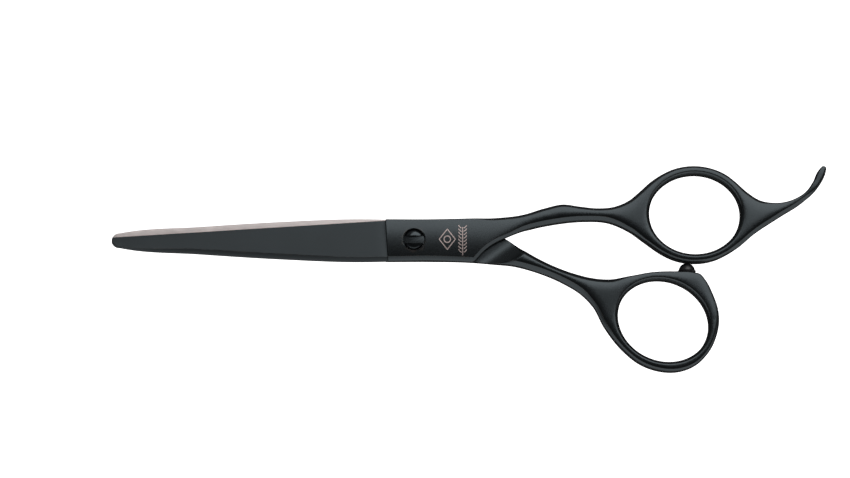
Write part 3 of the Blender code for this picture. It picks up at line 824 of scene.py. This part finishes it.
black = coating("black_coating", 0.25, (0.0054, 0.0061, 0.0065))
ground_black = coating("ground_coating", 0.42, (0.0045, 0.005, 0.0054), 0.42)
screw_black = coating("screw_coating", 0.2, (0.004, 0.0045, 0.005))
steel = ground_steel("ground_steel")
etched = plain_metal("etched_steel", (0.50, 0.41, 0.39), 0.5)
bronze = plain_metal("bush_bronze", (0.55, 0.36, 0.16), 0.35)
spring = plain_metal("spring_steel", (0.55, 0.56, 0.58), 0.25)
stud_steel = plain_metal("stud_steel", (0.5, 0.5, 0.5), 0.35)
polymer = soft_solid("washer_polymer", (0.75, 0.74, 0.70), 0.5, 0.000003)
rubber = soft_solid("bumper_rubber", (0.009, 0.009, 0.010), 0.36, 0.000002)

# --- halves -------------------------------------------------------------------------------------------
finger = forged_half("finger_half_forging", finger_knots(), FINGER_HOLE, FINGER_COVE, POCKET, FINGER_ROLLS)
give(finger, black, steel, ground_black)
ride(finger, "finger_side", "black_coating", "finger_half")

thumb = forged_half("thumb_half_forging", thumb_knots(), THUMB_HOLE, THUMB_COVE, NUT_SEAT, THUMB_ROLLS)
thumb.data.transform(Matrix.Rotation(math.pi, 4, "X") @ Matrix.Translation((0, 0, -HEIGHT * MM)))
give(thumb, black, steel, ground_black)
ride(thumb, "thumb_side", "black_coating", "thumb_half")

# --- pivot --------------------------------------------------------------------------------------------
HEAD_RADIUS = 2.7
HEAD_RIM_Z = 4.46
HEAD_TOP_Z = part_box("pivot_screw")[1].z / MM
UNDER_HEAD_Z = POCKET["floor"] + 0.6
THREAD_RADIUS = 1.5
JOURNAL_RADIUS = 1.8
THREAD_TOP_Z = 2.2
JOURNAL_FOOT_Z = 2.35
END_FLAT = (0.4, 0.02)  # radius and depth of the dimple in the thread's end
SLOT_WIDTH = 1.95
SLOT_FLOOR_Z = 4.5
CUTTER_REACH = 4.0  # the slot's cutter runs past the head and above it
CUTTER_TOP_Z = 7.0
LIP_WIDTH = 0.07

dome = [
    (r, HEAD_TOP_Z - (HEAD_TOP_Z - HEAD_RIM_Z) * (r / HEAD_RADIUS) ** 4)
    for r in HEAD_RADIUS * np.linspace(1, 0, 18)[1:] ** 0.7
]
thread_end = [(END_FLAT[0], 0.0), (THREAD_RADIUS, 0)]
thread = rounded(thread_end + [(THREAD_RADIUS, THREAD_TOP_Z), (JOURNAL_RADIUS, JOURNAL_FOOT_Z)], 0.2)
head = rounded([(JOURNAL_RADIUS, UNDER_HEAD_Z), (HEAD_RADIUS, UNDER_HEAD_Z), (HEAD_RADIUS, HEAD_RIM_Z)], 0.04)
screw_profile = [(0, END_FLAT[1])] + thread + head + dome[:-1] + [(0, HEAD_TOP_Z)]
screw = turned("pivot_screw_domed", screw_profile, WELL_SIDES)
slot_shape = bpy.data.meshes.new("slot_cutter")
slot_shape.from_pydata(
    [
        Vector((x, y, z)) * MM
        for x in (-CUTTER_REACH, CUTTER_REACH)
        for y in (-SLOT_WIDTH / 2, SLOT_WIDTH / 2)
        for z in (SLOT_FLOOR_Z, CUTTER_TOP_Z)
    ],
    [],
    [(0, 1, 3, 2), (4, 6, 7, 5), (0, 4, 5, 1), (2, 3, 7, 6), (0, 2, 6, 4), (1, 5, 7, 3)],
)
slot_tool = bpy.data.objects.new("slot_cutter", slot_shape)
bpy.context.scene.collection.objects.link(slot_tool)
opening = screw.modifiers.new("slot", "BOOLEAN")
opening.operation = "DIFFERENCE"
opening.solver = "EXACT"
opening.object = slot_tool
lip = screw.modifiers.new("lip", "BEVEL")
lip.width = LIP_WIDTH * MM
lip.segments = 3
lip.angle_limit = TURNED_SHARP
settle(screw)
bpy.data.objects.remove(slot_tool, do_unlink=True)
screw.data.shade_smooth()
screw.data.set_sharp_from_angle(angle=TURNED_SHARP)
give(screw, screw_black)
ride(screw, "tension_screw", "black_coating", "pivot_screw")

NUT_BORE, NUT_RADIUS, NUT_TOP_Z = 1.53, 2.1, 2.15
FLANGE_RADIUS, FLANGE_TOP_Z = 2.7, 0.8
NUT_CHAMFER = 0.2
nut_profile = rounded(
    [
        (NUT_BORE, NUT_CHAMFER),
        (NUT_BORE + NUT_CHAMFER, 0.0),
        (FLANGE_RADIUS, 0.0),
        (FLANGE_RADIUS, FLANGE_TOP_Z),
        (NUT_RADIUS, FLANGE_TOP_Z),
        (NUT_RADIUS, NUT_TOP_Z),
        (NUT_BORE, NUT_TOP_Z),
        (NUT_BORE, NUT_CHAMFER),
    ],
    0.1,
    3,
)
nut = turned("pivot_nut_turned", nut_profile[:-1], WELL_SIDES)
give(nut, plain_metal("nut_steel", (0.60, 0.59, 0.58), 0.28))
ride(nut, "thumb_side", "bare_steel", "pivot_nut")

for node, made in (
    ("pivot_bush", bronze),
    ("friction_washer", polymer),
    ("wave_washer", spring),
    ("bumper_stud", stud_steel),
):
    give(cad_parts[node], made)

# --- rubber stop --------------------------------------------------------------------------------------
stop_low, stop_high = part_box("bumper")
stop_radius = (stop_high.x - stop_low.x) / 2 / MM
skirt = (stop_high.y - stop_low.y) / MM - stop_radius
arc = [(stop_radius * math.cos(a), stop_radius * math.sin(a)) for a in np.radians(np.linspace(8, 88, 12))]
COLLAR = ((0.2, 0.0), (0.22, 0.12), (0.12, 0.22), (0.0, 0.26))  # a bead where the stop leaves its ring
collar = [(stop_radius + out, z) for out, z in COLLAR]
stop = turned(
    "bumper_domed", [(0, -skirt), (stop_radius, -skirt)] + collar + arc + [(0, stop_radius)], 64
)
middle = (stop_low + stop_high) / 2
stop.data.transform(
    Matrix.Translation((middle.x, stop_low.y + skirt * MM, middle.z)) @ Matrix.Rotation(-math.pi / 2, 4, "X")
)
give(stop, rubber)
ride(stop, "thumb_side", "bumper_rubber", "bumper")


# --- etched ornament ----------------------------------------------------------------------------------
ETCH_TOP, ETCH_FOOT = 0.012, -0.05  # heights of an etched line about the face


def etched_line(name, paths, width):
    """Thin raised lines that follow the crown of the pivot area; each path is (points, closed)."""
    made = Forging()
    for points, looped in paths:
        points = np.array(points, float)
        if looped:
            ahead = np.roll(points, -1, axis=0) - np.roll(points, 1, axis=0)
        else:
            ahead = np.gradient(points, axis=0)
        ahead /= np.linalg.norm(ahead, axis=1)[:, None]
        side = np.stack([-ahead[:, 1], ahead[:, 0]], axis=1) * width / 2
        rows = []
        for offset, lift in ((side, ETCH_TOP), (side, ETCH_FOOT), (-side, ETCH_FOOT), (-side, ETCH_TOP)):
            xy = points + offset
            rows.append(made.ring(xy, HEIGHT - PIVOT_CROWN * (xy[:, 1] / PIVOT_HALF_WIDTH) ** 2 + lift))
        last = len(points) if looped else len(points) - 1
        for low, high in zip(rows, rows[1:] + rows[:1]):
            for i in range(last):
                j = (i + 1) % len(points)
                made.face((low[i], low[j], high[j], high[i]))
        if not looped:
            made.face([row[0] for row in rows])
            made.face([row[-1] for row in rows[::-1]])
    return mesh_object(name, made)


def arc_points(centre, semi, start=0, stop=360, count=48):
    angles = np.radians(np.linspace(start, stop, count, endpoint=abs(stop - start) < 360))
    return np.stack([centre[0] + semi[0] * np.cos(angles), centre[1] + semi[1] * np.sin(angles)], axis=1)


EMBLEM = (8.7, 0.0)
LOZENGE = (2.1, 2.7)
RING_RADIUS = 0.85
LOZENGE_LINE = 0.26
corners = [(LOZENGE[0], 0), (0, LOZENGE[1]), (-LOZENGE[0], 0), (0, -LOZENGE[1])]
diamond = []
for start, end in zip(corners, corners[1:] + corners[:1]):
    for t in np.linspace(0, 1, 12, endpoint=False):
        diamond.append([centre + a * (1 - t) + b * t for centre, a, b in zip(EMBLEM, start, end)])
emblem_ring = arc_points(EMBLEM, (RING_RADIUS, RING_RADIUS))
mark = etched_line("etched_lozenge", [(diamond, True), (emblem_ring, True)], LOZENGE_LINE)
give(mark, etched)
ride(mark, "finger_side", "bare_steel")

SPRAY_X = 12.7
SPRAY_LINE = 0.24
STEM = (-4.2, 3.2)
LEAF_PAIRS = np.linspace(-3.5, 2.9, 8)
LEAF_SIZE = (1.05, 0.85)
LEAF = np.array([(0.25, 0.1), (0.6, 0.32), (0.85, 0.62), (1.0, 1.0)])
spray = [(np.stack([np.full(40, SPRAY_X), np.linspace(*STEM, 40)], axis=1), False)]
for y in LEAF_PAIRS:
    for side in (1, -1):
        leaf = LEAF * (side * LEAF_SIZE[0], LEAF_SIZE[1])
        spray.append((leaf + (SPRAY_X, y), False))
leaves = etched_line("etched_spray", spray, SPRAY_LINE)
give(leaves, etched)
ride(leaves, "finger_side", "bare_steel")

# --- floor, light and camera --------------------------------------------------------------------------
FLOOR_DROP = 0.10
FLOOR_HALF = 6
floor_shape = bpy.data.meshes.new("floor")
floor_plan = ((-1, -1), (1, -1), (1, 1), (-1, 1))
floor_corners = [(x * FLOOR_HALF, y * FLOOR_HALF, -FLOOR_DROP) for x, y in floor_plan]
floor_shape.from_pydata(floor_corners, [], [(0, 1, 2, 3)])
floor = bpy.data.objects.new("floor", floor_shape)
bpy.context.scene.collection.objects.link(floor)
floor_nodes = Nodes("pale_floor")
floor_nodes.set(Base_Color=(0.9, 0.9, 0.9, 1), Roughness=0.9)
floor_nodes.set(Emission_Color=(1, 1, 1, 1), Emission_Strength=1.0)
give(floor, floor_nodes.material)
floor.visible_glossy = False
floor.visible_diffuse = False

world = bpy.data.worlds.new("studio")
world.use_nodes = True
bpy.context.scene.world = world
tree = world.node_tree
backdrop = tree.nodes["Background"]
direction = tree.nodes.new("ShaderNodeTexCoord").outputs["Generated"]
parts = tree.nodes.new("ShaderNodeSeparateXYZ")
tree.links.new(direction, parts.inputs[0])
tilt = tree.nodes.new("ShaderNodeMath")
tilt.operation = "ARCTAN2"
tree.links.new(parts.outputs["Y"], tilt.inputs[0])
tree.links.new(parts.outputs["Z"], tilt.inputs[1])
spread = tree.nodes.new("ShaderNodeMapRange")
spread.inputs["From Min"].default_value = -math.pi
spread.inputs["From Max"].default_value = math.pi
tree.links.new(tilt.outputs[0], spread.inputs["Value"])
ramp = tree.nodes.new("ShaderNodeValToRGB")
tree.links.new(spread.outputs[0], ramp.inputs[0])
tree.links.new(ramp.outputs["Color"], backdrop.inputs["Color"])

# Brightness of the surroundings by angle in degrees from straight up, + towards +Y.
SURROUNDINGS = (
    *((-180, 0.03), (-125, 0.03), (-105, 0.8), (-88, 1.5), (-66, 1.5), (-50, 0.07)),
    *((-10, 0.02), (5, 0.08), (62, 0.22), (100, 0.18), (125, 0.05), (180, 0.03)),
)
stops = ramp.color_ramp.elements
while len(stops) > 1:
    stops.remove(stops[-1])
for number, (angle, level) in enumerate(SURROUNDINGS):
    stop_at = stops[0] if number == 0 else stops.new((angle + 180) / 360)
    stop_at.position = (angle + 180) / 360
    stop_at.color = (level, level, level, 1)


def softbox(name, tilt_y, tilt_x, distance, size, radiance):
    """A rectangular soft light seen from the shears at these tilts from straight up, towards +Y and +X."""
    towards = Vector((math.tan(math.radians(tilt_x)), math.tan(math.radians(tilt_y)), 1)).normalized()
    data = bpy.data.lights.new(name, "AREA")
    data.shape = "RECTANGLE"
    data.size, data.size_y = size
    data.energy = radiance * math.pi * size[0] * size[1]
    lamp = bpy.data.objects.new(name, data)
    lamp.location = towards * distance
    lamp.rotation_mode = "QUATERNION"
    lamp.rotation_quaternion = towards.to_track_quat("Z", "Y")
    bpy.context.scene.collection.objects.link(lamp)


softbox("key_softbox", 34.5, 17, 1.2, (1.0, 1.1), 2.5)

CAMERA_TARGET = Vector((2.88, 0.46, 2.6)) * MM
CAMERA_DISTANCE = 0.75
CAMERA_TILT = math.radians(9)
camera_data = bpy.data.cameras.new("camera")
camera_data.sensor_width = 36
camera_data.lens = 121.24
camera = bpy.data.objects.new("camera", camera_data)
back = Vector((0, -math.sin(CAMERA_TILT), math.cos(CAMERA_TILT)))
camera.location = CAMERA_TARGET + back * CAMERA_DISTANCE
camera.rotation_mode = "QUATERNION"
camera.rotation_quaternion = back.to_track_quat("Z", "Y")
bpy.context.scene.collection.objects.link(camera)
bpy.context.scene.camera = camera
bpy.context.scene.view_settings.view_transform = "Standard"
